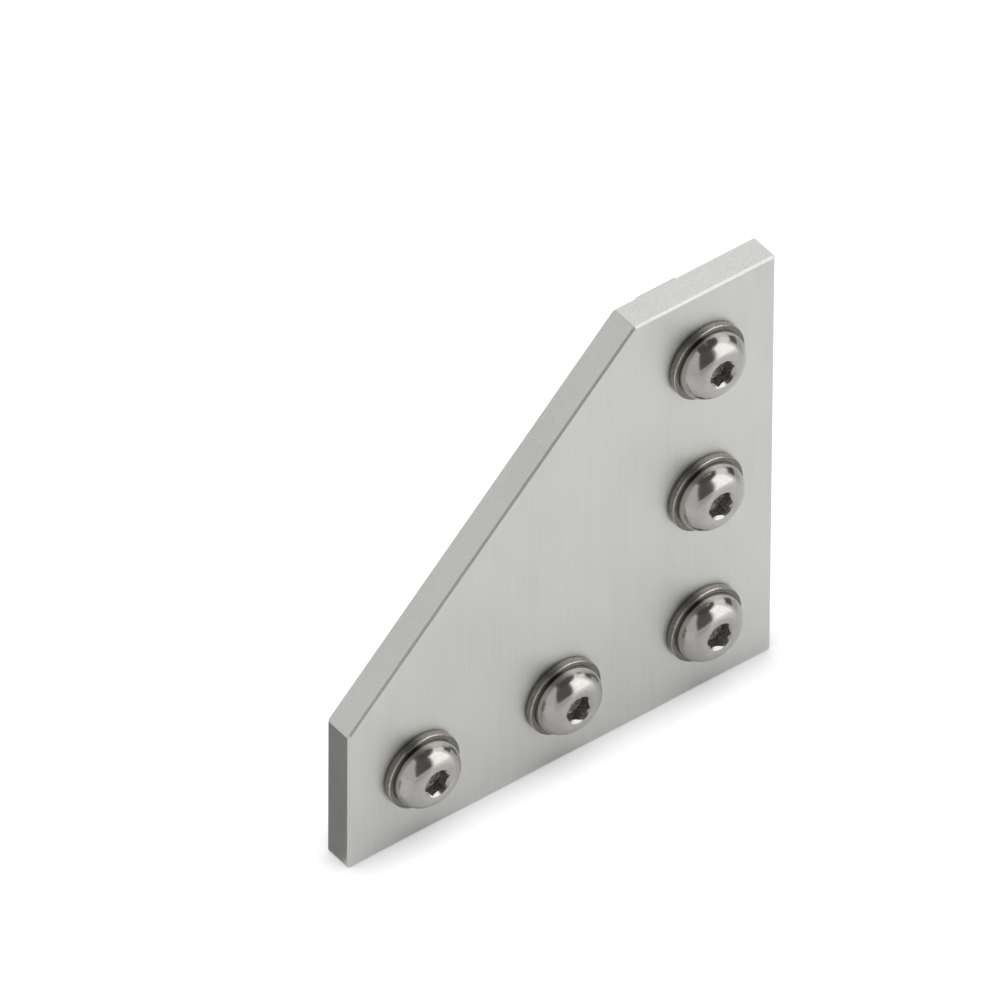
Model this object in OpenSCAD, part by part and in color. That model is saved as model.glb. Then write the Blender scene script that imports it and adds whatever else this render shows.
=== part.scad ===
// Angle joining plate with its five fastening sets, in millimetres.
//
// X runs to the right along the base leg, Y runs back out of the seat face and Z runs
// up the upright leg. The origin is on the seat face, on the axis of the corner hole.
//
// From front to back each fastening set is a button head screw, a flat washer, the
// plate, the clamping space and the slot nut.

/* [Plate] */
// Thickness of the plate
plate_t = 8; // [5:0.5:12]
// Width of both legs at their square ends, with the holes on the middle of the width
leg_w = 40; // [36:1:50]
// Distance between the holes along each leg
hole_pitch = 40; // [26:1:60]
// Distance from the last hole of a leg to the leg's square end
end_margin = 20; // [14:0.5:30]
// Chamfer round the edges of the front face and the seat face
edge_break = 0.5; // [0.2:0.1:1]
// Chamfer on the short edges at the plate's corners
corner_break = 0.4; // [0.2:0.1:1]
// Chamfer at both mouths of each hole
hole_break = 0.4; // [0.2:0.1:1]

/* [Screws] */
// Thread diameter of the screws
thread_d = 10; // [8:0.5:11]
// Length of thread that is engaged in a slot nut
thread_grip = 5.5; // [4.5:0.5:6]
// Chamfer at the screw's tip
tip_chamfer = 1; // [0.4:0.1:1.4]
// Diameter of the button head
head_d = 17.5; // [16:0.5:19]
// Height of the button head
head_h = 5; // [4.6:0.1:5.6]
// Height of the straight rim at the foot of the dome
rim_h = 0.4; // [0.3:0.1:1]
// Chamfer under the rim
rim_break = 0.15; // [0.05:0.05:0.25]
// Diameter of the flat crown round the socket
crown_d = 10; // [9:0.2:11]
// Width across the flats of the hexagon socket
socket_af = 6; // [5:0.5:6.5]
// Depth of the hexagon socket, without the drill point
socket_depth = 3.2; // [2.6:0.1:3.4]
// Diameter of the countersink at the socket's mouth
socket_mouth_d = 7.4; // [7.2:0.1:8.4]
// Angle between the two sides of that countersink
socket_mouth_angle = 90; // [80:5:130]
// Angle between the two sides of the drill point at the socket's bottom
drill_point = 120; // [110:1:150]

/* [Screw turns] */
// Angle at which the corner screw was left when it was tight
turn_corner = 42; // [0:1:60]
// The same for the middle screw of the base leg
turn_base_mid = 38; // [0:1:60]
// The same for the end screw of the base leg
turn_base_end = 6; // [0:1:60]
// The same for the middle screw of the upright leg
turn_upright_mid = 45; // [0:1:60]
// The same for the end screw of the upright leg
turn_upright_end = 10; // [0:1:60]

/* [Washers] */
// Outer diameter of the washers
washer_d = 20; // [19.5:0.5:24]
// Thickness of the washers
washer_t = 2; // [1:0.1:3]
// Radius rolled over the washer's front edge when it was punched
washer_roll = 0.4; // [0.2:0.1:0.8]

/* [Slot nuts] */
// Length of a slot nut along its leg
nut_l = 16; // [14:0.5:24]
// Width of a slot nut across its leg
nut_w = 16; // [15:0.5:20]
// Height of a slot nut
nut_h = 6; // [5.5:0.5:9]
// Bevel on the long edges at a slot nut's back
nut_bevel = 2.5; // [1:0.1:2.8]
// Chamfer on the short edges of a slot nut
nut_break = 0.5; // [0.2:0.1:1]
// Countersink at both mouths of the nut's thread
nut_mouth = 0.6; // [0.2:0.1:1]

/* [Clearances] */
// Clamping space between the seat face and the slot nuts
clamp_t = 4.5; // [4.2:0.1:6]
// Gap round a screw in its hole in the plate
plate_gap = 0.5; // [0.3:0.05:1]
// Gap round a screw in its washer
washer_gap = 0.25; // [0.1:0.05:0.5]
// Gap round a screw in its slot nut
thread_gap = 0.05; // [0.02:0.01:0.1]

/* [Hidden] */
$fn = 96;

// How far a cutting shape runs past the face that it cuts
past = 1;

// The holes, as places on the seat face
corner = [0, 0];
base_mid = [-hole_pitch, 0];
base_end = [-2 * hole_pitch, 0];
upright_mid = [0, hole_pitch];
upright_end = [0, 2 * hole_pitch];
holes = [corner, base_mid, base_end, upright_mid, upright_end];

// The plate's outline: outer edges half a leg from the holes, square ends, and one
// straight saw cut between them
outer = leg_w / 2;
reach = 2 * hole_pitch + end_margin;
far = 2 * (reach + outer);
outline = [
    [outer, -outer],
    [outer, reach],
    [outer - leg_w, reach],
    [-reach, leg_w - outer],
    [-reach, -outer]
];

// The stack along a screw, counted from the seat face towards the front
washer_seat = plate_t;
head_seat = washer_seat + washer_t;
thread_l = head_seat + clamp_t + thread_grip;

// Bores that let the screw through, or hold its thread
plate_hole_d = thread_d + 2 * plate_gap;
washer_hole_d = thread_d + 2 * washer_gap;
nut_hole_d = thread_d + 2 * thread_gap;

// The dome is an arc that leaves the rim upright and ends at the edge of the crown
head_r = head_d / 2;
crown_r = crown_d / 2;
dome_h = head_h - rim_h;
dome_x = (head_r * head_r - crown_r * crown_r - dome_h * dome_h) / (2 * (head_r - crown_r));
dome_r = head_r - dome_x;

// Puts a shape that is drawn along +Z over a hole, its +Z pointing out of the front
module at_hole(hole, height = 0) {
    translate([hole[0], -height, hole[1]])
        rotate([90, 0, 0])
            children();
}

// The plate

// Outline points with each corner cut off at the same distance along both its edges
function cut_corners(points, size) = [
    for (i = [0 : len(points) - 1])
        let (
            here = points[i],
            before = points[(i + len(points) - 1) % len(points)],
            after = points[(i + 1) % len(points)]
        )
        each [toward(here, before, size), toward(here, after, size)]
];
function toward(from, to, distance) = from + (to - from) * distance / norm(to - from);

module plate() {
    color([0.78, 0.785, 0.765])
        difference() {
            plate_blank(cut_corners(outline, corner_break));
            for (hole = holes)
                at_hole(hole) plate_hole();
        }
}

// A slab of the given convex outline, chamfered round both faces: the part of space
// that lies inside every one of its edges
module plate_blank(points) {
    intersection_for (i = [0 : len(points) - 1])
        inside_edge(points[i], points[(i + 1) % len(points)]);
}

// The inner side of one edge: its section across the edge, drawn along the whole plate
module inside_edge(from, to) {
    run = to - from;
    translate([from[0], 0, from[1]])
        rotate([0, -atan2(run[1], run[0]), 0])
            rotate([90, 0, 90])
                linear_extrude(2 * far, center = true)
                    polygon([
                        [-edge_break, 0], [0, edge_break], [0, far],
                        [-plate_t, far], [-plate_t, edge_break], [edge_break - plate_t, 0]
                    ]);
}

module plate_hole() {
    translate([0, 0, -past]) cylinder(d = plate_hole_d, h = plate_t + 2 * past);
    mouth(plate_hole_d, hole_break);
    translate([0, 0, plate_t]) mirror([0, 0, 1]) mouth(plate_hole_d, hole_break);
}

// A 45 degree countersink into +Z at the mouth of a bore
module mouth(bore_d, size) {
    translate([0, 0, -past])
        cylinder(d1 = bore_d + 2 * (size + past), d2 = bore_d, h = size + past);
}

// The screws

module screw(hole, turn) {
    color([0.66, 0.64, 0.62])
        at_hole(hole, head_seat)
            difference() {
                rotate_extrude() screw_section();
                rotate([0, 0, turn]) socket();
            }
}

// Half section of a screw, its bearing face at zero: the shank at the thread's outer
// diameter, the rim of the head, and the dome up to its flat crown
module screw_section() {
    polygon([
        [0, -thread_l],
        [thread_d / 2 - tip_chamfer, -thread_l],
        [thread_d / 2, tip_chamfer - thread_l],
        [thread_d / 2, 0],
        [head_r - rim_break, 0],
        [head_r, rim_break],
        [head_r, rim_h],
        [0, head_h / 2]
    ]);
    intersection() {
        translate([dome_x, rim_h]) circle(r = dome_r);
        translate([0, rim_h]) square([head_r, dome_h]);
    }
}

// Hexagon socket with a countersunk mouth and the drill point at its bottom
module socket() {
    point_h = socket_af / 2 / tan(drill_point / 2);
    mouth_slope = tan(socket_mouth_angle / 2);
    mouth_h = (socket_mouth_d - socket_af) / 2 / mouth_slope;
    translate([0, 0, head_h - socket_depth])
        cylinder(d = socket_af / cos(30), h = socket_depth + past, $fn = 6);
    translate([0, 0, head_h - socket_depth - point_h])
        cylinder(d1 = 0, d2 = socket_af, h = point_h);
    translate([0, 0, head_h - mouth_h])
        cylinder(d1 = socket_af, d2 = socket_mouth_d + 2 * past * mouth_slope, h = mouth_h + past);
}

// The washers

module washer(hole) {
    color([0.60, 0.59, 0.57])
        at_hole(hole, washer_seat)
            difference() {
                rotate_extrude() washer_section();
                translate([0, 0, -past]) cylinder(d = washer_hole_d, h = washer_t + 2 * past);
            }
}

// Half section of a washer whose front edge is rolled over
module washer_section() {
    square([washer_d / 2 - washer_roll, washer_t]);
    square([washer_d / 2, washer_t - washer_roll]);
    translate([washer_d / 2 - washer_roll, washer_t - washer_roll]) circle(r = washer_roll);
}

// The slot nuts

// A slot nut behind the clamping space, its length turned along its leg
module slot_nut(hole, along) {
    color([0.64, 0.66, 0.69])
        at_hole(hole, -clamp_t)
            rotate([0, 0, along])
                difference() {
                    intersection() {
                        across_section();
                        along_section();
                    }
                    translate([0, 0, -nut_h - past])
                        cylinder(d = nut_hole_d, h = nut_h + 2 * past);
                    mirror([0, 0, 1]) mouth(nut_hole_d, nut_mouth);
                    translate([0, 0, -nut_h]) mouth(nut_hole_d, nut_mouth);
                }
}

// Its section across the leg: a flat clamping face, and bevels towards the back
module across_section() {
    half = nut_w / 2;
    rotate([90, 0, 90])
        linear_extrude(nut_l, center = true)
            polygon([
                [-half + nut_break, 0], [half - nut_break, 0],
                [half, -nut_break], [half, nut_bevel - nut_h],
                [half - nut_bevel, -nut_h], [nut_bevel - half, -nut_h],
                [-half, nut_bevel - nut_h], [-half, -nut_break]
            ]);
}

// Its plan: a rectangle with its corners cut off
module along_section() {
    translate([0, 0, -nut_h])
        linear_extrude(nut_h)
            polygon(cut_corners([
                [-nut_l / 2, -nut_w / 2], [nut_l / 2, -nut_w / 2],
                [nut_l / 2, nut_w / 2], [-nut_l / 2, nut_w / 2]
            ], nut_break));
}

plate();
screw(corner, turn_corner);  // screw_corner
screw(base_mid, turn_base_mid);  // screw_base_mid
screw(base_end, turn_base_end);  // screw_base_end
screw(upright_mid, turn_upright_mid);  // screw_upright_mid
screw(upright_end, turn_upright_end);  // screw_upright_end
washer(corner);  // washer_corner
washer(base_mid);  // washer_base_mid
washer(base_end);  // washer_base_end
washer(upright_mid);  // washer_upright_mid
washer(upright_end);  // washer_upright_end
slot_nut(corner, 0);  // slot_nut_corner
slot_nut(base_mid, 0);  // slot_nut_base_mid
slot_nut(base_end, 0);  // slot_nut_base_end
slot_nut(upright_mid, 90);  // slot_nut_upright_mid
slot_nut(upright_end, 90);  // slot_nut_upright_end
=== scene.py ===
"""Looks of the angle joining plate and its five fastening sets.

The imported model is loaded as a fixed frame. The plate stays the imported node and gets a
satin anodised finish. Every screw, washer and slot nut is modelled again as a smooth
closed mesh, with its thread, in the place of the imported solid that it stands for. Each
shape is drawn in millimetres on its own axis and is then placed in the row frame.
"""

import logging
import math
from dataclasses import dataclass, field
from enum import Enum
from itertools import pairwise, product
from typing import Callable

import bmesh
import bpy
from bmesh.types import BMEdge, BMFace, BMVert
from mathutils import Matrix, Vector


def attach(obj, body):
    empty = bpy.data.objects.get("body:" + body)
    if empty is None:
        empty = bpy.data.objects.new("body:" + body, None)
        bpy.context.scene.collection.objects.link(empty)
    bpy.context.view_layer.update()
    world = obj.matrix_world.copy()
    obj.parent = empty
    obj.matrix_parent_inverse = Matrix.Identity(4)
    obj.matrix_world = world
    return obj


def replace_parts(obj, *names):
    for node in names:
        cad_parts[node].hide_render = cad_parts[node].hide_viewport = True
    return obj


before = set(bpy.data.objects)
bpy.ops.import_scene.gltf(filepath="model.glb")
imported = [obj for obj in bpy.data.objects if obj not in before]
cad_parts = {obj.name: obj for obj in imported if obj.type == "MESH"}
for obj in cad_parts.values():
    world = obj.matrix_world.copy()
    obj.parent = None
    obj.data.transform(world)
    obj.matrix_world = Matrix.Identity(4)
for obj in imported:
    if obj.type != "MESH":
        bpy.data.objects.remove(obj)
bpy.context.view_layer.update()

LOG = logging.getLogger("angle_joining_plate")
BODY = "root"
MM = 0.001
TAU = 2 * math.pi
# Distances in millimetres within which points are one, lie on a cut or are level.
WELD = 0.0005
ON_CUT = 0.0001
LEVEL = 0.001
Point = tuple[float, float]
Triple = tuple[float, float, float]
Socket = bpy.types.NodeSocket


class Slot(Enum):
    """The record's material slots."""

    PLATE = "anodised_plate"
    SCREW = "stainless_screw"
    WASHER = "stainless_washer"
    NUT = "plated_nut"


@dataclass(frozen=True)
class Station:
    """One place on the plate that has a fastening set.

    Args:
        name: the end of the names of its nodes.
        x: place of the hole's axis along the base leg, in millimetres.
        z: place of the hole's axis along the upright leg, in millimetres.
        turn: angle of a corner of the screw's socket from +X, in degrees.
        nut_turn: angle of the slot nut's length from +X, in degrees.
    """

    name: str
    x: float
    z: float
    turn: float
    nut_turn: float


STATIONS = (
    Station("corner", 0, 0, 42, 0),
    Station("base_mid", -40, 0, 38, 0),
    Station("base_end", -80, 0, 6, 0),
    Station("upright_mid", 0, 40, 45, 90),
    Station("upright_end", 0, 80, 10, 90),
)


def ease(value: float) -> float:
    """Turns a share from 0 to 1 into one that starts and ends slowly."""
    share = min(1.0, max(0.0, value))
    return share * share * (3 - 2 * share)


def new_object(name: str, shape: bmesh.types.BMesh) -> bpy.types.Object:
    """Turns a bmesh, which is used up, into an object of the scene.

    Args:
        name: name of the object and its mesh.
        shape: the bmesh, in metres.

    Returns:
        The object.
    """
    mesh = bpy.data.meshes.new(name)
    shape.to_mesh(mesh)
    shape.free()
    made = bpy.data.objects.new(name, mesh)
    bpy.context.scene.collection.objects.link(made)
    return made


# Shapes


def ends(edges: list[BMEdge]) -> list[BMVert]:
    """Gives the ends of some edges, each once and always in the same order."""
    return list(dict.fromkeys(vert for edge in edges for vert in edge.verts))


class Shape:
    """A mesh in the making, in millimetres, on an axis that points to the front."""

    def __init__(self) -> None:
        """Starts with an empty mesh."""
        self.bm = bmesh.new()

    def line(self, points: list[Point], closed: bool = False) -> list[BMEdge]:
        """Draws a line through (radius, height) points.

        Args:
            points: the points, from the line's first to its last.
            closed: whether the last point joins the first.

        Returns:
            The line's edges.
        """
        verts = [self.bm.verts.new((radius, 0, height)) for radius, height in points]
        pairs = list(pairwise(verts)) + ([(verts[-1], verts[0])] if closed else [])
        return [self.bm.edges.new(pair) for pair in pairs]

    def revolve(self, points: list[Point], steps: int, closed: bool = False) -> None:
        """Turns a line through a full circle.

        Args:
            points: (radius, height) points of the line.
            steps: how many faces go round.
            closed: whether the line is a closed section.
        """
        edges = self.line(points, closed)
        bmesh.ops.spin(
            self.bm, geom=[*ends(edges), *edges], cent=(0, 0, 0), axis=(0, 0, 1),
            angle=TAU, steps=steps, use_merge=True,
        )
        self.merge()

    def merge(self) -> None:
        """Joins the vertices that lie at the same place."""
        bmesh.ops.remove_doubles(self.bm, verts=self.bm.verts[:], dist=WELD)

    def open_loop(self, height: float) -> list[BMEdge]:
        """Finds the open border at one height.

        Args:
            height: the border's height.

        Returns:
            Its edges.
        """
        return [
            edge for edge in self.bm.edges
            if edge.is_boundary
            and all(abs(vert.co.z - height) < LEVEL for vert in edge.verts)
        ]

    def extend(
        self, border: list[BMEdge], move: Callable[[Vector], Vector], material: int = 0
    ) -> list[BMEdge]:
        """Extrudes an open border and moves what is new.

        Args:
            border: the edges to extrude.
            move: gives the new place of a vertex from its old one.
            material: index of the material that the new faces get.

        Returns:
            The new border.
        """
        made = bmesh.ops.extrude_edge_only(self.bm, edges=border)["geom"]
        verts = [item for item in made if isinstance(item, BMVert)]
        for vert in verts:
            vert.co = move(vert.co)
            for face in vert.link_faces:
                face.material_index = material
        near = dict.fromkeys(edge for vert in verts for edge in vert.link_edges)
        return [edge for edge in near if set(verts).issuperset(edge.verts)]

    def slice(self, place: Triple | Vector, normal: Triple | Vector) -> list[BMEdge]:
        """Cuts off what lies beyond a plane.

        Args:
            place: a point on the plane.
            normal: the direction in which everything is cut off.

        Returns:
            The open edges that the cut leaves.
        """
        cut = bmesh.ops.bisect_plane(
            self.bm, geom=[*self.bm.verts, *self.bm.edges, *self.bm.faces],
            dist=ON_CUT, plane_co=place, plane_no=normal, clear_outer=True,
        )["geom_cut"]
        return [item for item in cut if isinstance(item, BMEdge)]

    def cap(self, border: list[BMEdge]) -> None:
        """Closes an open border with one flat face."""
        bmesh.ops.edgeloop_fill(self.bm, edges=border)

    def turn(self, degrees: float) -> None:
        """Turns the shape about its axis, from +X towards the top."""
        bmesh.ops.rotate(
            self.bm, verts=self.bm.verts[:], cent=(0, 0, 0),
            matrix=Matrix.Rotation(math.radians(degrees), 3, "Z"),
        )

    def lift(self, height: float) -> None:
        """Moves the shape along its axis."""
        bmesh.ops.translate(self.bm, vec=(0, 0, height), verts=self.bm.verts[:])

    def round_edges(self, radius: float, segments: int, sharper: float = 30) -> None:
        """Rounds the edges at which faces meet sharply.

        Args:
            radius: width of the rounding.
            segments: faces across it.
            sharper: angle in degrees above which an edge counts as sharp.
        """
        edges = [
            edge for edge in self.bm.edges
            if edge.calc_face_angle(0) > math.radians(sharper)
        ]
        bmesh.ops.bevel(
            self.bm, geom=edges, offset=radius, offset_type="OFFSET", affect="EDGES",
            segments=segments, profile=0.5, material=-1, clamp_overlap=True,
        )

    def carve(self, *cutters: "Shape") -> None:
        """Takes other closed shapes away from this one.

        Args:
            cutters: the shapes to take away, which are used up.
        """
        for cutter in cutters:
            whole, tool = (shape.temporary() for shape in (self, cutter))
            modifier = whole.modifiers.new("carve", "BOOLEAN")
            modifier.operation, modifier.solver = "DIFFERENCE", "EXACT"
            modifier.object = tool
            bpy.context.view_layer.update()
            seen = whole.evaluated_get(bpy.context.evaluated_depsgraph_get())
            self.bm.clear()
            self.bm.from_mesh(seen.to_mesh())
            seen.to_mesh_clear()
            for obj in (whole, tool):
                mesh = obj.data
                bpy.data.objects.remove(obj)
                bpy.data.meshes.remove(mesh)
            self.merge()

    def temporary(self) -> bpy.types.Object:
        """Gives an object with a copy of the shape, for a modifier to work on.

        Returns:
            The object.
        """
        self.bm.normal_update()
        bmesh.ops.recalc_face_normals(self.bm, faces=self.bm.faces[:])
        return new_object("temporary", self.bm.copy())

    def piece(
        self, name: str, station: Station, height: float, slot: Slot,
        materials: list[bpy.types.Material], sharper: float = 28,
    ) -> bpy.types.Object:
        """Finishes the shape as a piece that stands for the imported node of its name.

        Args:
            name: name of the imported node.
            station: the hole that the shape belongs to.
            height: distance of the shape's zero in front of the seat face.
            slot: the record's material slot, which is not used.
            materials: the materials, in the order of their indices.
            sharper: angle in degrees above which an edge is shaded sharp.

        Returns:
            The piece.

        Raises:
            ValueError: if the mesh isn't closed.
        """
        self.merge()
        bmesh.ops.recalc_face_normals(self.bm, faces=self.bm.faces[:])
        loose = sum(not edge.is_manifold for edge in self.bm.edges)
        if loose:
            raise ValueError(f"{name} has {loose} edges that don't join two faces")
        place = Vector((station.x, -height, station.z)) * MM
        matrix = Matrix.Translation(place) @ Matrix.Rotation(math.pi / 2, 4, "X")
        self.bm.transform(matrix @ Matrix.Scale(MM, 4))
        for face in self.bm.faces:
            face.smooth = True
        for edge in self.bm.edges:
            edge.smooth = edge.calc_face_angle(0) < math.radians(sharper)
        made = new_object(name + "_dressed", self.bm)
        for material in materials:
            made.data.materials.append(material)
        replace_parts(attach(made, BODY), name)
        faces = len(made.data.polygons)
        LOG.info("%s: %d faces in place of %s", made.name, faces, name)
        return made


@dataclass(frozen=True)
class Thread:
    """A right-hand metric thread, with its ridge as wide as the basic profile's.

    Args:
        pitch: distance between turns.
        major_r: radius at which the basic profile's crest lies.
        flank: angle between a flank and the plane across the axis, in degrees.
        steps: faces round one turn.
    """

    pitch: float = 1.5
    major_r: float = 5.0
    flank: float = 30.0
    steps: int = 48

    def ridge(self, radius: float, slack: float) -> float:
        """Gives the ridge's width along the axis at a radius, with slack added."""
        slope = math.tan(math.radians(self.flank))
        return self.pitch / 8 + 2 * (self.major_r - radius) * slope + slack

    def shape(
        self, low: float, high: float, root_r: float, crest_r: float, slack: float = 0
    ) -> Shape:
        """Winds the thread between two heights and leaves both its ends open.

        Args:
            low: height of its lower end.
            high: height of its upper end.
            root_r: radius of the groove's bottom.
            crest_r: radius of the ridge's top.
            slack: how much wider than the basic profile the ridge is.

        Returns:
            The threaded surface.
        """
        middle = self.pitch / 2
        root, crest = (self.ridge(radius, slack) / 2 for radius in (root_r, crest_r))
        first = math.floor(low / self.pitch) - 1
        turns = math.ceil(high / self.pitch) + 1 - first
        start = first * self.pitch
        made = Shape()
        edges = made.line([
            (root_r, start), (root_r, start + middle - root),
            (crest_r, start + middle - crest), (crest_r, start + middle + crest),
            (root_r, start + middle + root), (root_r, start + self.pitch),
        ])
        bmesh.ops.spin(
            made.bm, geom=[*ends(edges), *edges], cent=(0, 0, 0), axis=(0, 0, 1),
            dvec=(0, 0, self.pitch / self.steps), angle=TAU * turns,
            steps=self.steps * turns,
        )
        made.merge()
        made.slice((0, 0, high), (0, 0, 1))
        made.slice((0, 0, low), (0, 0, -1))
        return made


# Finishes


class Wiring:
    """The shader nodes of a material or a world, in the making."""

    def __init__(self, owner: bpy.types.Material | bpy.types.World, bare: bool) -> None:
        """Starts the wiring of a material or a world.

        Args:
            owner: the material or the world.
            bare: whether the nodes that it comes with are taken out.
        """
        owner.use_nodes = True
        self.tree = owner.node_tree
        if bare:
            self.tree.nodes.clear()

    def node(self, kind: str, **settings: object) -> bpy.types.Node:
        """Adds a node.

        Args:
            kind: its type.
            settings: its properties.

        Returns:
            The node.
        """
        made = self.tree.nodes.new(kind)
        for key, value in settings.items():
            setattr(made, key, value)
        return made

    def join(self, source: object, target: Socket) -> None:
        """Feeds an input.

        Args:
            source: an output or a plain value.
            target: the input.
        """
        if isinstance(source, Socket):
            self.tree.links.new(source, target)
        else:
            target.default_value = source

    def math(self, operation: str, *values: object) -> Socket:
        """Works with one to three numbers.

        Args:
            operation: what is done with them.
            values: the numbers.

        Returns:
            The result.
        """
        made = self.node("ShaderNodeMath", operation=operation)
        for value, target in zip(values, made.inputs):
            self.join(value, target)
        return made.outputs[0]

    def glow(self, strength: object) -> Socket:
        """Gives white light.

        Args:
            strength: its brightness.

        Returns:
            The shader.
        """
        made = self.node("ShaderNodeEmission")
        self.join(strength, made.inputs["Strength"])
        return made.outputs[0]

    def mix(
        self, share: object, first: Socket, second: Socket
    ) -> Socket:
        """Mixes two shaders.

        Args:
            share: how much the second has of the mix.
            first: the first shader.
            second: the second shader.

        Returns:
            The mix.
        """
        made = self.node("ShaderNodeMixShader")
        for source, target in zip((share, first, second), made.inputs):
            self.join(source, target)
        return made.outputs[0]

    def end(self, shader: Socket, kind: str = "Material") -> None:
        """Gives the shader to the tree's output."""
        self.join(shader, self.node(f"ShaderNodeOutput{kind}").inputs["Surface"])


class Recipe(Wiring):
    """A node material in the making, read from Object coordinates."""

    def __init__(self, name: str) -> None:
        """Starts a material with a Principled shader.

        Args:
            name: its name.
        """
        self.material = bpy.data.materials.new(name)
        super().__init__(self.material, bare=False)
        self.shader = self.tree.nodes["Principled BSDF"]
        self.place = self.node("ShaderNodeTexCoord").outputs["Object"]
        self.normal = self.node("ShaderNodeNewGeometry").outputs["Normal"]

    def remap(
        self, value: object, low: float, high: float, to_low: float, to_high: float
    ) -> Socket:
        """Turns one range of numbers into another, and stays within it.

        Args:
            value: the number to turn.
            low: start of its range.
            high: end of its range.
            to_low: what the start becomes.
            to_high: what the end becomes.

        Returns:
            The new number.
        """
        made = self.node("ShaderNodeMapRange", interpolation_type="SMOOTHSTEP")
        for source, target in zip((value, low, high, to_low, to_high), made.inputs):
            self.join(source, target)
        return made.outputs[0]

    def spread(self, noise: object, low: float, high: float) -> Socket:
        """Turns a noise, which rarely leaves 0.3 to 0.7, into another range."""
        return self.remap(noise, 0.3, 0.7, low, high)

    def sway(self, noise: object, reach: float) -> Socket:
        """Turns a noise into a number that goes as far below 0 as above it."""
        return self.spread(noise, -reach, reach)

    def noise(
        self, grain: Triple, detail: float = 2, roughness: float = 0.5
    ) -> Socket:
        """Makes a noise.

        Args:
            grain: size of its grains along X, Y and Z, in millimetres.
            detail: how many finer layers it has.
            roughness: how strong these are.

        Returns:
            A number about 0.5.
        """
        spread = self.node("ShaderNodeMapping", vector_type="POINT")
        self.join(self.place, spread.inputs["Vector"])
        spread.inputs["Scale"].default_value = [1 / (MM * size) for size in grain]
        made = self.node("ShaderNodeTexNoise")
        self.join(spread.outputs[0], made.inputs["Vector"])
        made.inputs["Scale"].default_value = 1
        made.inputs["Detail"].default_value = detail
        made.inputs["Roughness"].default_value = roughness
        return made.outputs["Fac"]

    def depth(self) -> Socket:
        """Gives the place along Y, in metres.

        Returns:
            The number.
        """
        split = self.node("ShaderNodeSeparateXYZ")
        self.join(self.place, split.inputs[0])
        return split.outputs["Y"]

    def facing(self, direction: Triple, start: float, full: float) -> Socket:
        """Gives 1 where the surface faces a direction and 0 elsewhere.

        Args:
            direction: the direction, of length 1.
            start: cosine at which the mask leaves 0.
            full: cosine at which it reaches 1.

        Returns:
            The mask.
        """
        dot = self.node("ShaderNodeVectorMath", operation="DOT_PRODUCT")
        self.join(self.normal, dot.inputs[0])
        dot.inputs[1].default_value = direction
        return self.remap(dot.outputs["Value"], start, full, 0, 1)

    def blend(self, share: object, first: object, second: object) -> Socket:
        """Mixes two numbers.

        Args:
            share: how much the second has of the mix.
            first: the first number.
            second: the second number.

        Returns:
            The mix.
        """
        made = self.node("ShaderNodeMix", data_type="FLOAT")
        for source, target in zip((share, first, second), (
            made.inputs["Factor"], made.inputs["A"], made.inputs["B"]
        )):
            self.join(source, target)
        return made.outputs["Result"]

    def shade(self, tint: Triple, level: object) -> Socket:
        """Makes a colour lighter or darker.

        Args:
            tint: the colour.
            level: what its three parts are multiplied by.

        Returns:
            The new colour.
        """
        made = self.node("ShaderNodeVectorMath", operation="SCALE")
        made.inputs[0].default_value = tint
        self.join(level, made.inputs["Scale"])
        return made.outputs[0]

    def relief(self, height: object, depth: float) -> None:
        """Puts a bump on the shader.

        Args:
            height: a number from 0 to 1.
            depth: what 1 stands for, in millimetres.
        """
        made = self.node("ShaderNodeBump")
        self.join(height, made.inputs["Height"])
        made.inputs["Distance"].default_value = depth * MM
        made.inputs["Strength"].default_value = 1
        self.join(made.outputs[0], self.shader.inputs["Normal"])

    def metal(self, colour: object, roughness: object) -> bpy.types.Material:
        """Ends the recipe as a bare metal.

        Args:
            colour: its colour.
            roughness: its roughness.

        Returns:
            The material.
        """
        self.join(colour, self.shader.inputs["Base Color"])
        self.join(roughness, self.shader.inputs["Roughness"])
        self.shader.inputs["Metallic"].default_value = 1
        return self.material


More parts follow.
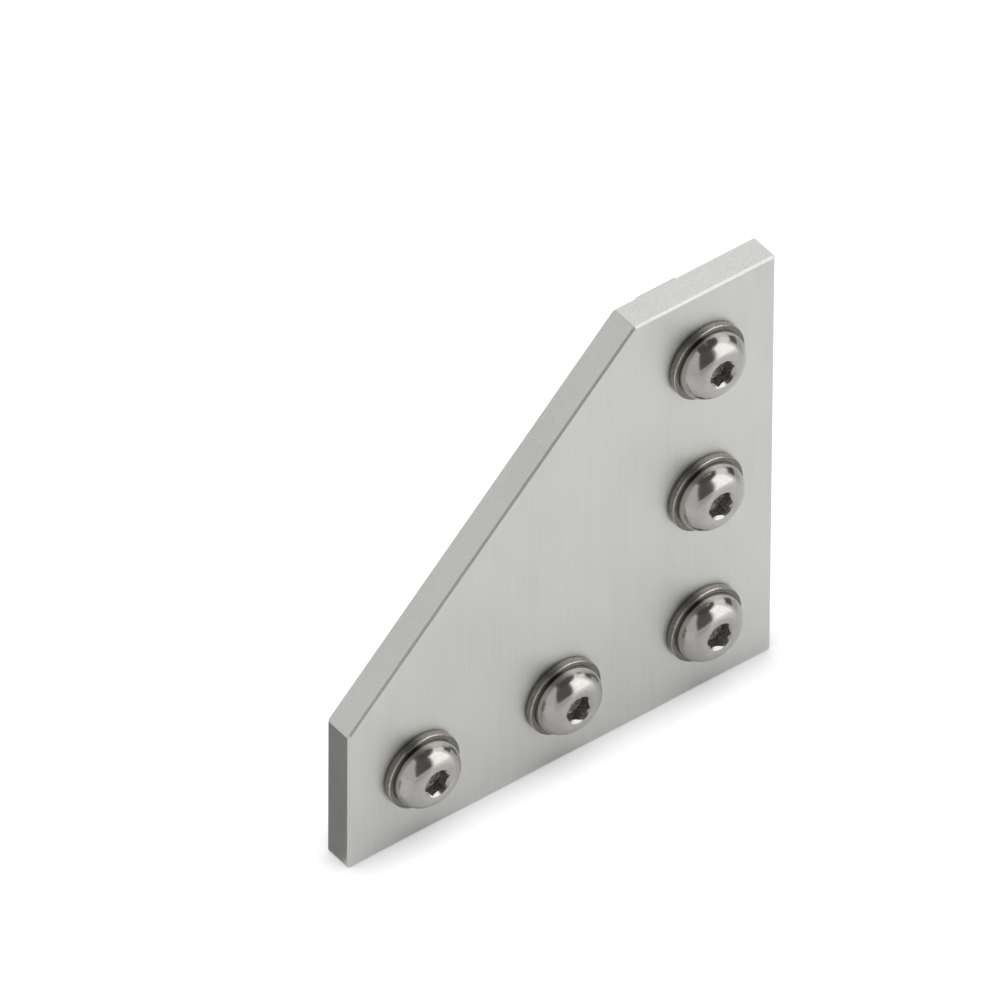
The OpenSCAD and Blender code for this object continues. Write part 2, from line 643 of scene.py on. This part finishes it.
@dataclass(frozen=True)
class SatinAnodised:
    """Natural anodised aluminium: brushed faces, milled ends and a sawn diagonal.

    Args:
        tint: its colour.
        brushed: roughness of the two large faces.
        milled: roughness of the ends and the outer edges.
        sawn: roughness of the diagonal.
        broken: roughness of the chamfered edges.
        clouds: its levels from cloud to cloud.
        streak: how much lighter and darker its wide streaks are.
        brushing: the same for the lines on the large faces.
        sawing: the same for the grain of the cut faces.
        relief: depth of the relief, in millimetres.
        flat: cosines between which a surface comes to count as a large face.
        leaning: the same for a chamfer.
        sloped: the same for the diagonal.
    """

    tint: Triple = (0.723, 0.729, 0.70)
    brushed: float = 0.47
    milled: float = 0.34
    sawn: float = 0.46
    broken: float = 0.47
    clouds: Point = (0.975, 1.01)
    streak: float = 0.008
    brushing: float = 0.03
    sawing: float = 0.09
    relief: float = 0.006
    flat: Point = (0.8, 0.95)
    leaning: Point = (0.3, 0.6)
    sloped: Point = (0.9, 0.97)

    def material(self) -> bpy.types.Material:
        """Makes the material.

        Returns:
            The material.
        """
        recipe = Recipe("satin_anodised")
        flat, leaning = (
            recipe.math("MAXIMUM", *(
                recipe.facing((0, side, 0), *limits) for side in (-1, 1)
            ))
            for limits in (self.flat, self.leaning)
        )
        half = math.sqrt(0.5)
        diagonal = recipe.facing((-half, 0, half), *self.sloped)
        cut = recipe.math("SUBTRACT", 1, flat)
        chamfer = recipe.math("SUBTRACT", leaning, flat)
        lines = recipe.noise((0.09, 3, 14), detail=3, roughness=0.6)
        wide = recipe.noise((1.1, 3, 60), detail=1)
        cloud = recipe.noise((18, 18, 26), detail=2)
        grain = recipe.noise((0.32, 0.32, 0.32), detail=3, roughness=0.7)
        fine = recipe.noise((0.07, 0.07, 0.07), detail=2, roughness=0.6)

        level = recipe.math("ADD", recipe.spread(cloud, *self.clouds),
                            recipe.sway(wide, self.streak))
        brushed = recipe.math("MULTIPLY", flat, recipe.sway(lines, self.brushing))
        sawn = recipe.math("MULTIPLY", cut, recipe.sway(grain, self.sawing))
        level = recipe.math("ADD", level, recipe.math("ADD", brushed, sawn))

        height = recipe.math("MULTIPLY", flat, lines)
        height = recipe.math("ADD", height, recipe.math("MULTIPLY", cut, grain))
        height = recipe.math("ADD", height, recipe.math("MULTIPLY", fine, 0.5))
        recipe.relief(height, self.relief)
        rough = recipe.blend(flat, self.milled, self.brushed)
        rough = recipe.blend(diagonal, rough, self.sawn)
        rough = recipe.blend(chamfer, rough, self.broken)
        rough = recipe.math("ADD", rough, recipe.sway(lines, 0.02))
        return recipe.metal(recipe.shade(self.tint, level), rough)


@dataclass(frozen=True)
class PaintedShadeAndHighlight:
    """Painted shade at a piece's foot and front, and a painted highlight on its edge.

    Args:
        foot: distance in front of the seat face at which the painted shade at the foot is
            darkest, in millimetres.
        shade_end: distance at which that painted shade ends, in millimetres.
        shade_at_foot: the metal's level at the foot, a painted shade.
        shade_in_front: its level on the front, a painted shade.
        highlight_at_edge: its level on the edge round the front, a painted highlight.
        front: cosines between which a surface comes to count as the front.
        edge: the same for the edge round the front and the front together.
    """

    foot: float = 8.0
    shade_end: float = 8.8
    shade_at_foot: float = 0.4
    shade_in_front: float = 0.7
    highlight_at_edge: float = 1.8
    front: Point = (0.72, 0.92)
    edge: Point = (0.1, 0.4)

    def paint_shade_and_highlight(self, recipe: Recipe, level: Socket) -> Socket:
        """Paints the shade and the highlight on a metal.

        Args:
            recipe: its material in the making.
            level: its level so far.

        Returns:
            The new level.
        """
        foot, shade_end = -self.foot * MM, -self.shade_end * MM
        # Painted shade: darker towards the foot, where the piece meets the seat face.
        foot_shade = recipe.remap(recipe.depth(), shade_end, foot, 1, self.shade_at_foot)
        # Painted shade: the face that looks to the front is darker.
        front = recipe.facing((0, -1, 0), *self.front)
        # Painted highlight: the edge round the front is lighter.
        edge = recipe.math("SUBTRACT", recipe.facing((0, -1, 0), *self.edge), front)
        for factor in (
            foot_shade,
            recipe.blend(front, 1, self.shade_in_front),
            recipe.blend(edge, 1, self.highlight_at_edge),
        ):
            level = recipe.math("MULTIPLY", level, factor)
        return level


@dataclass(frozen=True)
class TumbledStainless:
    """Bright stainless steel with the small dents and hazes of tumbling.

    Args:
        name: the material's name.
        tint: its colour.
        roughness: its roughness.
        dent: depth of the relief, in millimetres.
        speckle: how much lighter and darker its small spots are.
        painted_light: its painted shade and painted highlight, if it has any.
        hazes: its levels from haze to haze.
        pit: how much darker its finest pits are.
    """

    name: str = "tumbled_stainless"
    tint: Triple = (0.495, 0.478, 0.456)
    roughness: float = 0.17
    dent: float = 0.006
    speckle: float = 0.05
    painted_light: PaintedShadeAndHighlight | None = None
    hazes: Point = (0.96, 1.02)
    pit: float = 0.12

    def material(self) -> bpy.types.Material:
        """Makes the material.

        Returns:
            The material.
        """
        recipe = Recipe(self.name)
        haze = recipe.noise((3.2, 3.2, 3.2), detail=3)
        dents = recipe.noise((0.9, 0.9, 0.9), detail=2)
        specks = recipe.noise((0.14, 0.14, 0.14), detail=2, roughness=0.6)
        spots = recipe.noise((0.4, 0.4, 0.4), detail=3, roughness=0.6)
        level = recipe.math("ADD", recipe.spread(haze, *self.hazes),
                            recipe.remap(specks, 0.62, 0.75, 0, -self.pit))
        level = recipe.math("ADD", level, recipe.remap(
            spots, 0.35, 0.65, -self.speckle, self.speckle))
        height = recipe.math("ADD", dents, recipe.math("MULTIPLY", specks, 0.12))
        recipe.relief(height, self.dent)
        rough = recipe.math("ADD", recipe.spread(haze, -0.03, 0.04), self.roughness)
        # Painted shade and a painted highlight, where the finish has them.
        if self.painted_light:
            level = self.painted_light.paint_shade_and_highlight(recipe, level)
        return recipe.metal(recipe.shade(self.tint, level), rough)


@dataclass(frozen=True)
class BroachedSteel:
    """Bare steel torn by a broach: rough, with uneven marks across the cut.

    Args:
        name: the material's name.
        tint: its colour.
        roughness: its roughness.
        tear: depth of the marks, in millimetres.
        marks: its levels from mark to mark.
        chip: how much lighter its chips are.
    """

    name: str = "broached_socket"
    tint: Triple = (0.70, 0.67, 0.64)
    roughness: float = 0.42
    tear: float = 0.05
    marks: Point = (0.3, 1.1)
    chip: float = 0.4

    def material(self) -> bpy.types.Material:
        """Makes the material.

        Returns:
            The material.
        """
        recipe = Recipe(self.name)
        marks = recipe.noise((0.55, 0.22, 0.55), detail=3, roughness=0.65)
        chips = recipe.noise((0.3, 0.8, 0.3), detail=2, roughness=0.6)
        level = recipe.math("ADD", recipe.remap(marks, 0.38, 0.62, *self.marks),
                            recipe.remap(chips, 0.58, 0.72, 0, self.chip))
        recipe.relief(recipe.math("ADD", marks, chips), self.tear)
        rough = recipe.math("ADD", recipe.spread(chips, 0.06, -0.06), self.roughness)
        return recipe.metal(recipe.shade(self.tint, level), rough)


@dataclass(frozen=True)
class ZincPlate:
    """Steel with a thin, slightly blue coat of zinc.

    Args:
        tint: its colour.
        roughness: its roughness.
        clouds: its levels from cloud to cloud.
        grain: depth of its grain, in millimetres.
    """

    tint: Triple = (0.60, 0.625, 0.65)
    roughness: float = 0.33
    clouds: Point = (0.95, 1.03)
    grain: float = 0.004

    def material(self) -> bpy.types.Material:
        """Makes the material.

        Returns:
            The material.
        """
        recipe = Recipe("zinc_plate")
        cloud = recipe.noise((2.4, 2.4, 2.4), detail=4, roughness=0.6)
        grain = recipe.noise((0.2, 0.2, 0.2), detail=2)
        level = recipe.spread(cloud, *self.clouds)
        recipe.relief(grain, self.grain)
        rough = recipe.math("ADD", recipe.spread(cloud, 0.06, -0.05), self.roughness)
        return recipe.metal(recipe.shade(self.tint, level), rough)


# Pieces


@dataclass
class Plate:
    """The plate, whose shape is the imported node's.

    Args:
        finish: its finish.
    """

    finish: SatinAnodised = field(default_factory=SatinAnodised)

    def dress(self) -> None:
        """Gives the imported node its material."""
        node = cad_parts["plate"]
        node.data.materials.clear()
        node.data.materials.append(self.finish.material())
        LOG.info("plate: packed node dressed")


@dataclass
class ButtonHeadScrew:
    """A button head screw with a countersunk hexagon socket.

    Args:
        finish: finish of the head and the thread.
        inside: finish of the socket's walls.
        bottom: finish of the socket's bottom, whose dark tint is painted shade.
        thread: its thread.
        seat: distance of its bearing face in front of the seat face.
        length: length of the thread with the neck.
        neck_l: length of the plain neck.
        neck_r: radius of the neck.
        root_r: radius of the groove's bottom.
        crest_r: radius of the ridge's top.
        tip: chamfer at the end.
        head_r: radius of the head.
        head_h: height of the head.
        rim_h: height of its straight rim.
        rim_break: chamfer under the rim.
        crown_r: radius of the flat crown.
        mouth_r: radius of the socket's countersink.
        mouth_angle: angle between the countersink's sides, in degrees.
        socket_af: width of the socket across its flats.
        socket_depth: depth of the socket without the drill point.
        drill_point: angle of the drill point, in degrees.
        soft: width of the smallest roundings.
        rim_soft: length of the rounding beside the rim's chamfer.
        crown_soft: width of the rounding round the crown.
        mouth_soft: width of the rounding round the socket's mouth.
        dome_share: share of the dome's arc that comes before the crown's rounding.
        dome_steps: faces along the arc.
        steps: faces round the head, a multiple of six.
    """

    finish: TumbledStainless = field(default_factory=TumbledStainless)
    inside: BroachedSteel = field(default_factory=BroachedSteel)
    # The bottom's darker tint is painted shade deep in the socket.
    bottom: BroachedSteel = field(default_factory=lambda: BroachedSteel(
        "drilled_bottom_painted_shade", (0.40, 0.385, 0.37), 0.5, 0.03))
    thread: Thread = field(default_factory=Thread)
    seat: float = 10
    length: float = 20
    neck_l: float = 2
    neck_r: float = 4.9
    root_r: float = 4.19
    crest_r: float = 4.98
    tip: float = 1
    head_r: float = 8.75
    head_h: float = 5
    rim_h: float = 0.4
    rim_break: float = 0.15
    crown_r: float = 5
    mouth_r: float = 3.7
    mouth_angle: float = 90
    socket_af: float = 6
    socket_depth: float = 3.2
    drill_point: float = 120
    soft: float = 0.02
    rim_soft: float = 0.1
    crown_soft: float = 0.14
    mouth_soft: float = 0.06
    dome_share: float = 0.985
    dome_steps: int = 16
    steps: int = 96

    def profile(self) -> list[Point]:
        """Gives the head's outside, from the neck to the socket's mouth.

        Returns:
            Its (radius, height) points.
        """
        rise = self.head_h - self.rim_h
        centre = (self.head_r**2 - self.crown_r**2 - rise**2) / (
            2 * (self.head_r - self.crown_r)
        )
        radius = self.head_r - centre
        end = math.acos((self.crown_r - centre) / radius)
        soft = self.soft
        shares = [step / self.dome_steps for step in range(self.dome_steps)]
        angles = [end * share for share in (*shares, self.dome_share)]
        dome = [
            (centre + radius * math.cos(angle), self.rim_h + radius * math.sin(angle))
            for angle in angles
        ]
        return [
            (self.neck_r, 0),
            (self.head_r - self.rim_break - self.rim_soft, 0),
            (self.head_r - self.rim_break, soft),
            (self.head_r - soft, self.rim_break),
            (self.head_r, self.rim_break + self.rim_soft),
            *dome,
            (self.crown_r - soft, self.head_h - soft / 4),
            (self.crown_r - self.crown_soft, self.head_h),
            (self.mouth_r + self.mouth_soft, self.head_h),
            (self.mouth_r, self.head_h - soft),
        ]

    def hexagon(self, place: Vector) -> float:
        """Gives the socket's radius in the direction of a point.

        Args:
            place: the point.

        Returns:
            The radius.
        """
        corner = math.radians(60)
        angle = math.atan2(place.y, place.x) % corner - corner / 2
        return self.socket_af / 2 / math.cos(angle)

    def head(self) -> Shape:
        """Builds the head with its socket, open at the neck.

        Returns:
            The head.
        """
        made = Shape()
        made.revolve(self.profile(), self.steps)
        floor = self.head_h - self.socket_depth
        flat_r = self.socket_af / 2
        point = flat_r / math.tan(math.radians(self.drill_point / 2))
        slope = math.tan(math.radians(self.mouth_angle / 2))

        def mouth(place: Vector) -> Vector:
            """Runs the countersink down to the hexagon.

            Args:
                place: a point on its edge.

            Returns:
                The point below it.
            """
            radius = self.hexagon(place)
            height = self.head_h - (self.mouth_r - radius) / slope
            return Vector((*(place.xy.normalized() * radius), height))

        def bottom(place: Vector) -> Vector:
            """Runs the socket's flat bottom in to the drill's circle."""
            return Vector((*(place.xy.normalized() * flat_r), floor))

        border = made.open_loop(self.head_h - self.soft)
        border = made.extend(border, mouth)
        border = made.extend(border, lambda place: Vector((*place.xy, floor)), 1)
        border = made.extend(border, bottom, 2)
        made.extend(border, lambda place: Vector((0, 0, floor - point)), 2)
        made.merge()
        return made

    def shank(self) -> Shape:
        """Builds the threaded shank with its chamfered tip, open at the neck.

        Returns:
            The shank.
        """
        low, high = -self.length, -self.neck_l
        made = self.thread.shape(low, high, self.root_r, self.crest_r)
        for vert in made.bm.verts:
            radius = vert.co.xy.length
            limit = self.crest_r - self.tip + (vert.co.z - low)
            run_out = ease((vert.co.z - high + self.thread.pitch) / self.thread.pitch)
            wanted = min(radius, limit)
            wanted += (self.neck_r - wanted) * run_out
            vert.co.xy *= wanted / radius
        made.cap(made.open_loop(low))
        return made

    def build(self, station: Station, materials: list[bpy.types.Material]) -> None:
        """Builds the screw of one station.

        Args:
            station: its place.
            materials: materials of the outside, the socket's walls and its bottom.
        """
        made = self.head()
        made.turn(station.turn)
        mesh = bpy.data.meshes.new("shank")
        shank = self.shank()
        shank.bm.to_mesh(mesh)
        shank.bm.free()
        made.bm.from_mesh(mesh)
        bpy.data.meshes.remove(mesh)
        rings = made.open_loop(0) + made.open_loop(-self.neck_l)
        bmesh.ops.bridge_loops(made.bm, edges=rings)
        made.piece(f"screw_{station.name}", station, self.seat, Slot.SCREW, materials)

    def build_all(self) -> None:
        """Builds the screws of all stations."""
        materials = [
            finish.material() for finish in (self.finish, self.inside, self.bottom)
        ]
        for station in STATIONS:
            self.build(station, materials)


@dataclass
class Washer:
    """A punched flat washer whose front edges are rolled over.

    Args:
        finish: its finish, with painted shade and a painted highlight.
        seat: distance of its back in front of the seat face.
        bore_r: radius of its hole.
        outer_r: outer radius.
        thick: its thickness.
        roll: radius of the rolled front edge.
        bore_roll: radius of the edge at the hole's front.
        back_break: chamfer on the outer edge at the back.
        bore_break: chamfer on the hole's edge at the back.
        steps: faces round it.
    """

    # The washer's finish paints shade at its foot and front and a highlight on its rolled
    # edge.
    finish: TumbledStainless = field(default_factory=lambda: TumbledStainless(
        "punched_stainless_painted_light", (0.28, 0.26, 0.24), 0.22, 0.014, 0.24, PaintedShadeAndHighlight()))
    seat: float = 8
    bore_r: float = 5.25
    outer_r: float = 10
    thick: float = 2
    roll: float = 0.4
    bore_roll: float = 0.2
    back_break: float = 0.08
    bore_break: float = 0.05
    steps: int = 128

    def corner(self, radius: float, size: float, outwards: int) -> list[Point]:
        """Gives the points of a rounded front edge, from the wall to the front face.

        Args:
            radius: radius of the wall.
            size: radius of the rounding.
            outwards: 1 for the outer wall and -1 for the hole's.

        Returns:
            The points.
        """
        parts = 6
        angles = [math.pi / 2 * share / parts for share in range(parts + 1)]
        return [
            (radius + outwards * size * (math.cos(angle) - 1),
             self.thick + size * (math.sin(angle) - 1))
            for angle in angles
        ]

    def build_all(self) -> None:
        """Builds the washers of all stations."""
        material = self.finish.material()
        for station in STATIONS:
            made = Shape()
            made.revolve([
                (self.bore_r + self.bore_break, 0),
                (self.outer_r - self.back_break, 0),
                (self.outer_r, self.back_break),
                *self.corner(self.outer_r, self.roll, 1),
                *reversed(self.corner(self.bore_r, self.bore_roll, -1)),
                (self.bore_r, self.bore_break),
            ], self.steps, closed=True)
            made.piece(
                f"washer_{station.name}", station, self.seat, Slot.WASHER, [material]
            )


@dataclass
class SlotNut:
    """A bevelled slot nut with a tapped hole.

    Args:
        finish: its finish.
        thread: its thread, in step with the screw's.
        seat: distance of its clamping face behind the seat face.
        screw_seat: distance of the screw's bearing face in front of the seat face.
        long: its length.
        wide: its width.
        high: its height.
        bevel: bevel on the long edges at its back.
        edge_break: chamfer on its short edges.
        drill_r: radius of the tapping drill.
        tap_r: radius that the tap cuts to.
        tap_slack: how much wider than the screw's ridge the tap cuts.
        tap_sink: how far its root stays inside the drilled hole.
        mouth: countersink beyond the thread's outer radius.
        rounding: radius at every edge.
        over: how far the cutting shapes reach beyond the nut.
        steps: faces round the drilled hole.
    """

    finish: ZincPlate = field(default_factory=ZincPlate)
    thread: Thread = field(default_factory=Thread)
    seat: float = 4.5
    screw_seat: float = 10
    long: float = 16
    wide: float = 16
    high: float = 6
    bevel: float = 2.5
    edge_break: float = 0.5
    drill_r: float = 4.25
    tap_r: float = 5.05
    tap_slack: float = 0.1
    tap_sink: float = 0.02
    mouth: float = 0.6
    rounding: float = 0.34
    over: float = 1
    steps: int = 96

    def body(self) -> Shape:
        """Builds the nut without its hole.

        Returns:
            The nut.
        """
        made = Shape()
        half, small, back = self.wide / 2, self.edge_break, -self.high
        section = [
            (-half + small, 0), (half - small, 0), (half, -small),
            (half, back + self.bevel), (half - self.bevel, back),
            (self.bevel - half, back), (-half, back + self.bevel), (-half, -small),
        ]
        face = made.bm.faces.new([
            made.bm.verts.new((-self.long / 2, across, height))
            for across, height in section
        ])
        moved = bmesh.ops.extrude_face_region(made.bm, geom=[face])["geom"]
        bmesh.ops.translate(made.bm, vec=(self.long, 0, 0),
                            verts=[item for item in moved if isinstance(item, BMVert)])
        for side, end in product((-1, 1), repeat=2):
            place = Vector((
                side * (self.long - small) / 2, end * (self.wide - small) / 2, 0
            ))
            made.cap(made.slice(place, Vector((side, end, 0))))
        bmesh.ops.recalc_face_normals(made.bm, faces=made.bm.faces[:])
        made.round_edges(self.rounding, segments=2)
        return made

    def drill(self) -> Shape:
        """Builds the shape of the drilled hole with both its countersinks.

        Returns:
            The shape.
        """
        over = self.over
        wide = self.tap_r + self.mouth
        depth = wide - self.drill_r
        made = Shape()
        made.revolve([
            (0, -self.high - over), (wide + over, -self.high - over),
            (self.drill_r, -self.high + depth), (self.drill_r, -depth),
            (wide + over, over), (0, over),
        ], self.steps)
        return made

    def tap(self) -> Shape:
        """Builds the shape that the tap cuts, in step with the screw's thread.

        Returns:
            The shape.
        """
        shift = self.screw_seat + self.seat
        low, high = -shift - self.high - self.over, -shift + self.over
        made = self.thread.shape(
            low, high, self.drill_r - self.tap_sink, self.tap_r, self.tap_slack
        )
        for height in (low, high):
            made.cap(made.open_loop(height))
        made.lift(shift)
        return made

    def build_all(self) -> None:
        """Builds the slot nuts of all stations."""
        material = self.finish.material()
        for station in STATIONS:
            made = self.body()
            made.turn(station.nut_turn)
            made.carve(self.drill(), self.tap())
            made.piece(
                f"slot_nut_{station.name}", station, -self.seat, Slot.NUT, [material]
            )


# Studio


@dataclass(frozen=True)
class Card:
    """A card of the studio, as a patch of a sphere round the object.

    Args:
        name: its name.
        west: longitudes of the lower and the upper end of its left side, in degrees,
            with 0 straight in front.
        east: the same for its right side.
        low: latitude of its lower side.
        high: latitude of its upper side.
        level: its brightness, with the background's white as 1.
        feather: share of its width and height over which its edges fade.
        distance: radius of the sphere, in metres.
        lift: height at which it lies over the floor, in metres.
        steps: faces along each side.
    """

    name: str
    west: Point
    east: Point
    low: float
    high: float
    level: float
    feather: float = 0.12
    distance: float = 1.1
    lift: float = 0.0005
    steps: int = 32

    def build(self, centre: Vector, floor_z: float) -> None:
        """Builds the card, which lies on the floor where the sphere is below it.

        Args:
            centre: middle of the sphere.
            floor_z: height of the floor.
        """
        shape = bmesh.new()
        bmesh.ops.create_grid(
            shape, x_segments=self.steps, y_segments=self.steps, size=1
        )
        glow = shape.verts.layers.float.new("glow")
        for vert in shape.verts:
            across, up = vert.co.x, vert.co.y
            vert[glow] = math.prod(
                ease((1 - abs(place)) / (2 * self.feather)) for place in (across, up)
            )
            side, tall = (across + 1) / 2, (up + 1) / 2
            west, east = (
                low + (high - low) * tall for low, high in (self.west, self.east)
            )
            lon = math.radians(west + (east - west) * side)
            lat = math.radians(self.low + (self.high - self.low) * tall)
            ray = Vector((
                math.sin(lon) * math.cos(lat),
                -math.cos(lon) * math.cos(lat),
                math.sin(lat),
            ))
            reach = self.distance
            if ray.z < 0:
                reach = min(reach, (floor_z + self.lift - centre.z) / ray.z)
            vert.co = centre + ray * reach
        made = new_object(self.name, shape)
        made.data.materials.append(self.material())
        made.visible_camera = made.visible_diffuse = made.visible_shadow = False

    def material(self) -> bpy.types.Material:
        """Makes its material: an even glow that fades out at the edges.

        Returns:
            The material.
        """
        made = bpy.data.materials.new(self.name)
        wiring = Wiring(made, bare=True)
        share = wiring.node("ShaderNodeAttribute", attribute_name="glow").outputs["Fac"]
        clear = wiring.node("ShaderNodeBsdfTransparent").outputs[0]
        wiring.end(wiring.mix(share, clear, wiring.glow(self.level)))
        return made


@dataclass(frozen=True)
class PaleFloor:
    """The floor's finish: white with a partly painted shadow to look at, matt otherwise.

    Args:
        matt: how much light it throws back, except to the camera.
        roughness: roughness of its sheen.
        ior: refractive index of its sheen.
        shown: how much light it throws back to the camera.
        glow: its own light to the camera, where it is hemmed in and where it is clear; its
            dimming near the object is a painted shadow.
        painted_shadow_width: width of the painted shadow where the object meets it, in
            metres.
        samples: how many rays look for that painted shadow.
    """

    matt: float = 0.8
    roughness: float = 0.14
    ior: float = 1.45
    shown: float = 0.3
    glow: Point = (0.2, 0.84)
    painted_shadow_width: float = 0.0095
    samples: int = 4

    def material(self) -> bpy.types.Material:
        """Makes the material.

        Returns:
            The material.
        """
        made = bpy.data.materials.new("pale_floor_painted_shadow")
        wiring = Wiring(made, bare=True)
        camera = wiring.node("ShaderNodeLightPath").outputs["Is Camera Ray"]
        matt = wiring.node("ShaderNodeBsdfPrincipled")
        thin = wiring.node("ShaderNodeBsdfDiffuse")
        # The ambient occlusion dims the glow near the object: a painted shadow.
        clear = wiring.node("ShaderNodeAmbientOcclusion", samples=self.samples)
        level = wiring.node("ShaderNodeMapRange")
        shown = wiring.node("ShaderNodeAddShader")
        for source, target in (
            ((self.matt, self.matt, self.matt, 1), matt.inputs["Base Color"]),
            (self.roughness, matt.inputs["Roughness"]),
            (self.ior, matt.inputs["IOR"]),
            ((self.shown, self.shown, self.shown, 1), thin.inputs["Color"]),
            (self.painted_shadow_width, clear.inputs["Distance"]),
            (clear.outputs["AO"], level.inputs["Value"]),
            (self.glow[0], level.inputs["To Min"]),
            (self.glow[1], level.inputs["To Max"]),
            (thin.outputs[0], shown.inputs[0]),
            (wiring.glow(level.outputs[0]), shown.inputs[1]),
        ):
            wiring.join(source, target)
        wiring.end(wiring.mix(camera, matt.outputs[0], shown.outputs[0]))
        return made


@dataclass
class Studio:
    """The pale floor, the white background and the soft light.

    Args:
        floor_z: height of the floor, in metres.
        floor_side: side of the floor, in metres.
        centre: middle of the studio, in metres.
        ambient: strength of the background's own light.
        overhead: light that the lamp overhead gives the floor, with white as 1.
        lamp_side: side of the lamp, in metres.
        lamp_height: height of the lamp above the floor, in metres.
        finish: the floor's finish.
        cards: what the object sees round it.
    """

    floor_z: float = -0.02002
    floor_side: float = 12
    centre: Triple = (-0.04, -0.008, 0.04)
    ambient: float = 0.5
    overhead: float = 0.64
    lamp_side: float = 0.7
    lamp_height: float = 0.9
    finish: PaleFloor = field(default_factory=PaleFloor)
    cards: tuple[Card, ...] = (
        Card("softbox", (15, 14), (66, 62), -8, 58, 1.8),
        Card("softbox_side", (58, 58), (98, 98), 24, 60, 1.2),
        Card("flag_front", (-72, -72), (15, 16), -2, 62, 0.13, feather=0.05),
        Card("flag_over", (-180, -180), (180, 180), 57, 89, 0.10, feather=0.03),
        Card("flag_right", (68, 72), (122, 118), -2, 24, 0.12),
        Card("panel_left", (-168, -168), (-27, -62), -2, 56, 0.72, feather=0.04,
             distance=1.05),
        # The dark card on the floor, seen only in reflections, is painted shade left of
        # and behind the plate.
        Card("flag_floor_painted_shade", (-150, -140), (-91, -91), -62, -18, 0.22, feather=0.04),
    )

    def background(self) -> None:
        """Sets the background: white to look at, and a soft light otherwise."""
        world = bpy.data.worlds.new("background")
        bpy.context.scene.world = world
        wiring = Wiring(world, bare=True)
        path = wiring.node("ShaderNodeLightPath").outputs
        seen = wiring.math("MAXIMUM", path["Is Camera Ray"], path["Is Glossy Ray"])
        seen = wiring.math("MAXIMUM", seen, path["Is Transmission Ray"])
        plain, white = (wiring.node("ShaderNodeBackground") for _ in range(2))
        plain.inputs["Strength"].default_value = self.ambient
        for node in (plain, white):
            node.inputs["Color"].default_value = (1, 1, 1, 1)
        wiring.end(wiring.mix(seen, plain.outputs[0], white.outputs[0]), "World")

    def floor(self) -> None:
        """Lays the floor, which keeps the object's shadow, partly real and partly painted.
        """
        shape = bmesh.new()
        half = self.floor_side / 2
        bmesh.ops.create_grid(shape, x_segments=1, y_segments=1, size=half)
        bmesh.ops.translate(shape, vec=(0, 0, self.floor_z), verts=shape.verts[:])
        made = new_object("floor", shape)
        made.data.materials.append(self.finish.material())

    def lamp(self) -> None:
        """Hangs the soft lamp overhead, which neither the camera nor a mirror sees."""
        data = bpy.data.lights.new("overhead", "AREA")
        data.shape, data.size = "SQUARE", self.lamp_side
        data.energy = self.overhead * (math.pi * self.lamp_height) ** 2
        obj = bpy.data.objects.new("overhead", data)
        bpy.context.scene.collection.objects.link(obj)
        obj.location = (*self.centre[:2], self.floor_z + self.lamp_height)
        obj.visible_camera = obj.visible_glossy = False

    def build(self) -> None:
        """Builds the studio."""
        self.background()
        self.floor()
        self.lamp()
        for card in self.cards:
            card.build(Vector(self.centre), self.floor_z)
        LOG.info("studio: floor and %d cards", len(self.cards))


@dataclass(frozen=True)
class PictureCamera:
    """The camera at the picture's viewing angle.

    Args:
        azimuth: its direction round the object in degrees, with 0 in front.
        elevation: its height above the horizon, in degrees.
        roll: its turn about its own axis, in degrees.
        target: the point that the picture is built round, in metres.
        right: how far the picture's middle lies right of the target, in metres.
        up: how far it lies above the target, in metres.
        distance: distance from the target, in metres.
        lens: focal length, in millimetres.
        sensor: width of the sensor, in millimetres.
        clip: distances between which it sees, in metres.
    """

    azimuth: float = -37.761
    elevation: float = 42.625
    roll: float = 0.364
    target: Triple = (-0.040, 0, 0.040)
    right: float = -0.008977
    up: float = 0.009728
    distance: float = 8.2153
    lens: float = 1319.3
    sensor: float = 36
    clip: Point = (0.5, 60)

    def build(self) -> None:
        """Builds the camera and makes it the scene's."""
        azimuth, elevation, roll = map(
            math.radians, (self.azimuth, self.elevation, self.roll)
        )
        back = Vector((
            math.sin(azimuth) * math.cos(elevation),
            -math.cos(azimuth) * math.cos(elevation),
            math.sin(elevation),
        ))
        level = Vector((math.cos(azimuth), math.sin(azimuth), 0))
        rise = back.cross(level)
        right = level * math.cos(roll) + rise * math.sin(roll)
        up = rise * math.cos(roll) - level * math.sin(roll)
        data = bpy.data.cameras.new("picture")
        data.lens = self.lens
        data.sensor_width = self.sensor
        data.clip_start, data.clip_end = self.clip
        obj = bpy.data.objects.new("picture", data)
        bpy.context.scene.collection.objects.link(obj)
        place = (Vector(self.target) + right * self.right + up * self.up
                 + back * self.distance)
        turned = Matrix((right, up, back)).transposed().to_4x4()
        obj.matrix_world = Matrix.Translation(place) @ turned
        bpy.context.scene.camera = obj
        LOG.info("camera: %.1f degrees round, %.1f up", self.azimuth, self.elevation)


def main() -> None:
    """Builds the camera, the pieces and the studio."""
    logging.basicConfig(level=logging.INFO, format="%(name)s: %(message)s")
    bpy.context.scene.view_settings.view_transform = "Standard"
    PictureCamera().build()
    Plate().dress()
    Washer().build_all()
    ButtonHeadScrew().build_all()
    SlotNut().build_all()
    Studio().build()


if __name__ == "__main__":
    main()
